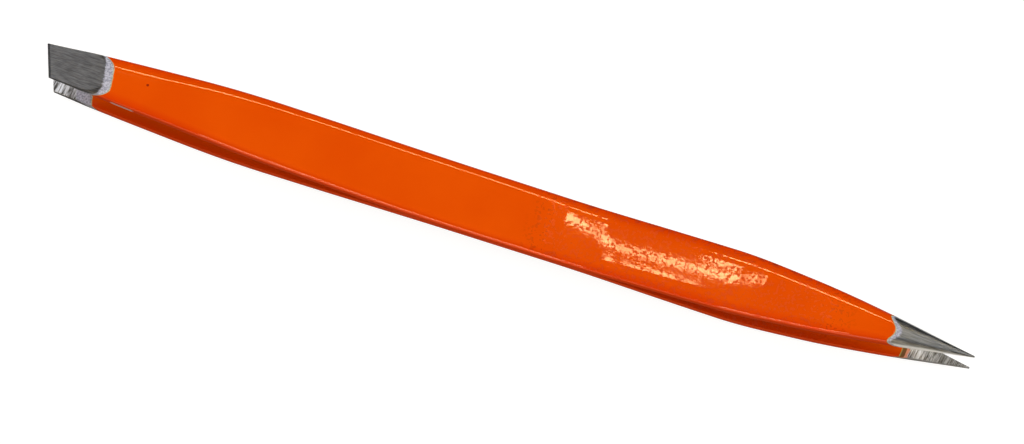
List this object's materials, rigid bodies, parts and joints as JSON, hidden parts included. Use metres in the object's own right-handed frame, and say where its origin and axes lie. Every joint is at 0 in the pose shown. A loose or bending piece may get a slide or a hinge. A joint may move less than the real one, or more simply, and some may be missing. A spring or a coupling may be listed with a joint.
{
  "type": "double-ended tweezers",
  "caption": "Slim double-ended tweezers of lacquered spring steel: a slanted flat jaw at one end and a needle point at the other, joined at the middle.",
  "frame": {"origin": "middle of the footprint, on the surface that the tool lies on", "axes": "+X along the tool from the slanted jaw to the needle point, +Y across the blades, +Z square to the blades' faces, up"},
  "size_m": [0.095, 0.0066, 0.0069],
  "materials": {
    "lacquered_steel": "glossy orange lacquer over a pale grey primer, ground back to bare steel at both tips"
  },
  "bodies": {
    "root": {"upper_blade": "lacquered_steel", "lower_blade": "lacquered_steel"}
  },
  "joints": []
}
